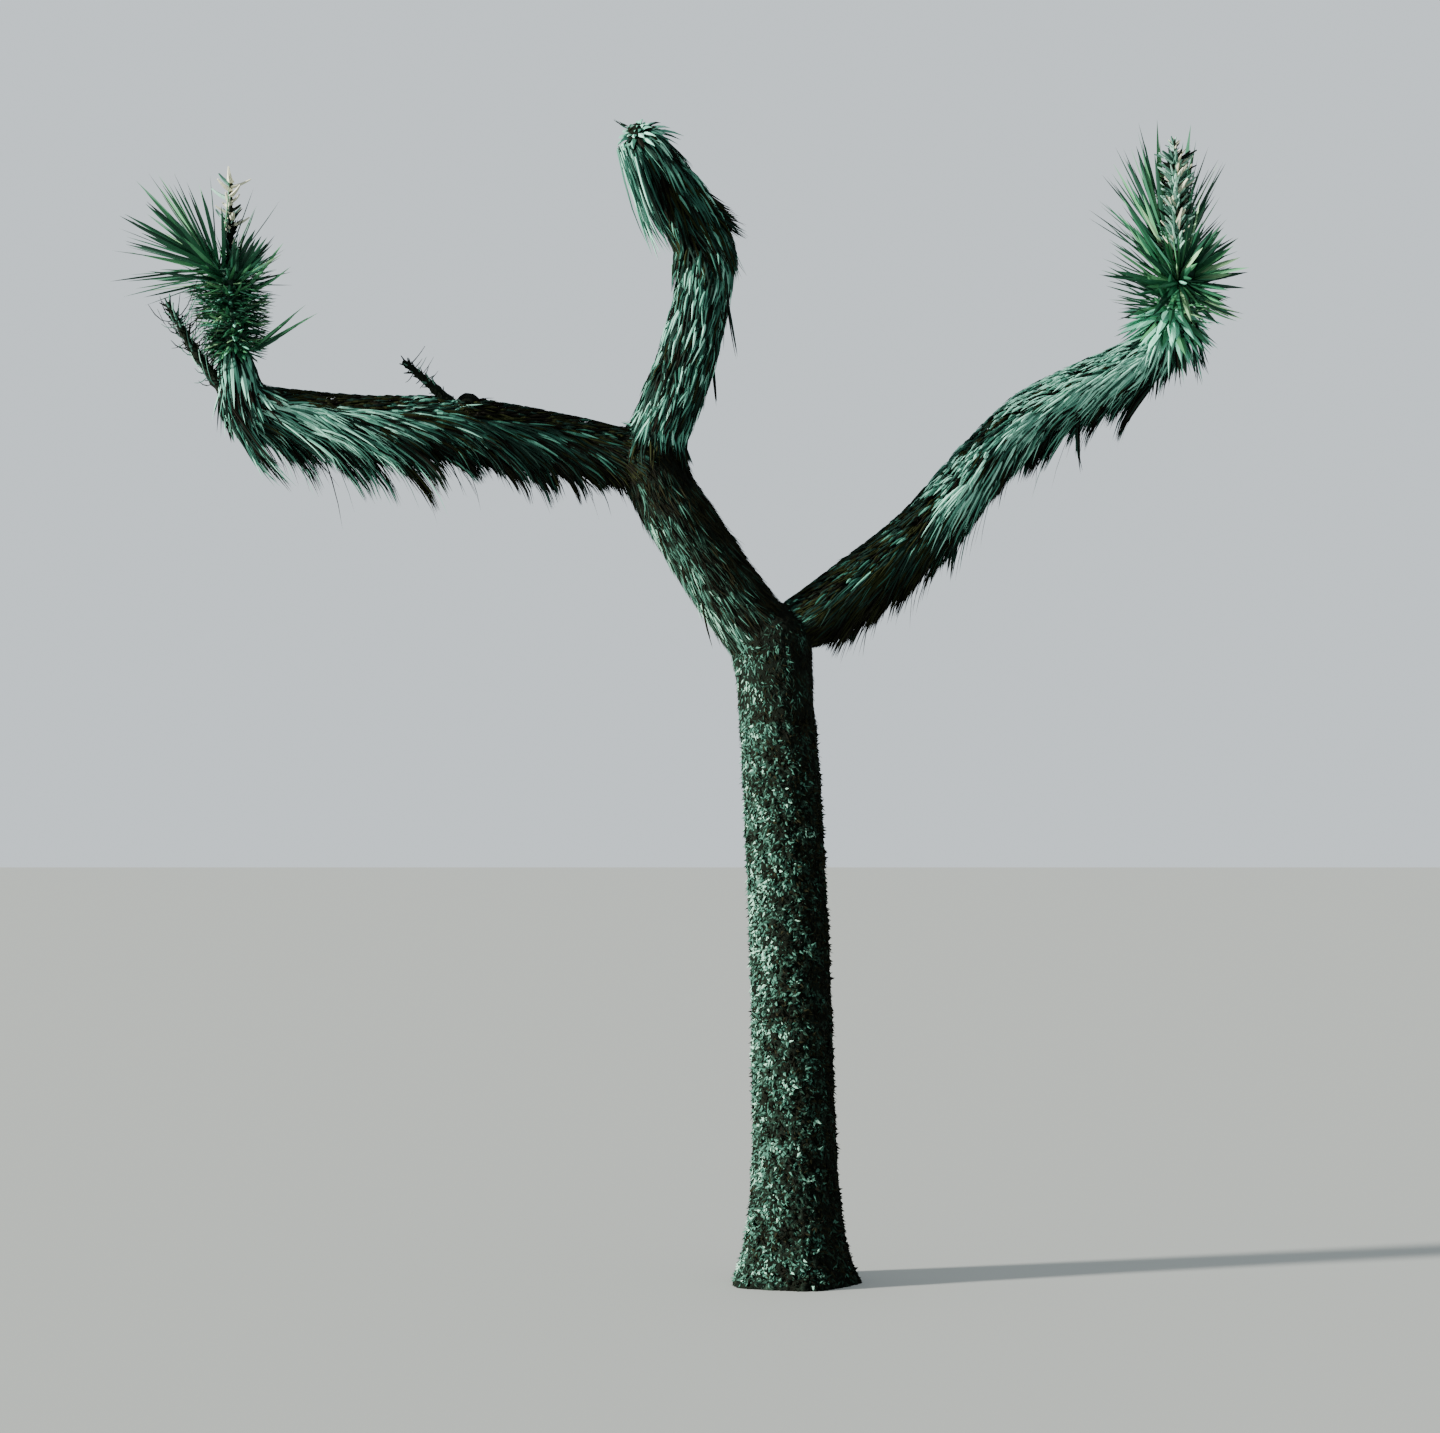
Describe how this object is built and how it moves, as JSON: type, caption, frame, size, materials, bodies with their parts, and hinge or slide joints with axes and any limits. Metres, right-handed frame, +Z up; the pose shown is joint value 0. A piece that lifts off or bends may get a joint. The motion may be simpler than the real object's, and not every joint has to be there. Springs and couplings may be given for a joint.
{
  "type": "joshua tree",
  "caption": "Young joshua tree: straight bare trunk forking into three thick arms thatched with dead leaves, two ending in spiky living crowns and one in a dead head.",
  "frame": {"origin": "centre of the level cut under the trunk, at ground level", "axes": "+Z up. Seen along +Y the crowns stand as in the picture, with +X to the right."},
  "size_m": [3.0042, 1.1671, 3.0893],
  "materials": {
    "bark": "rough, flaky grey-brown bark",
    "stalk": "dry weathered flower stalk",
    "thatch": "dry dead leaves, bleached teal-grey",
    "leaf": "stiff waxy green leaves with pale bases"
  },
  "bodies": {
    "root": {"trunk": "bark", "lower_limb": "bark", "left_arm": "bark", "left_neck": "bark", "middle_arm_lower": "bark", "middle_arm_upper": "bark", "right_arm_lower": "bark", "right_arm_upper": "bark", "right_neck": "bark", "left_side_stalk": "stalk", "left_arm_stub": "stalk", "left_flower_stalk": "stalk", "right_flower_stalk": "stalk", "left_thatch_inner": "thatch", "left_thatch_outer": "thatch", "left_neck_thatch": "thatch", "middle_thatch_lower": "thatch", "middle_thatch_upper": "thatch", "right_thatch_lower": "thatch", "right_thatch_upper": "thatch", "right_neck_thatch": "thatch", "left_crown": "leaf", "right_crown": "leaf"}
  },
  "joints": []
}
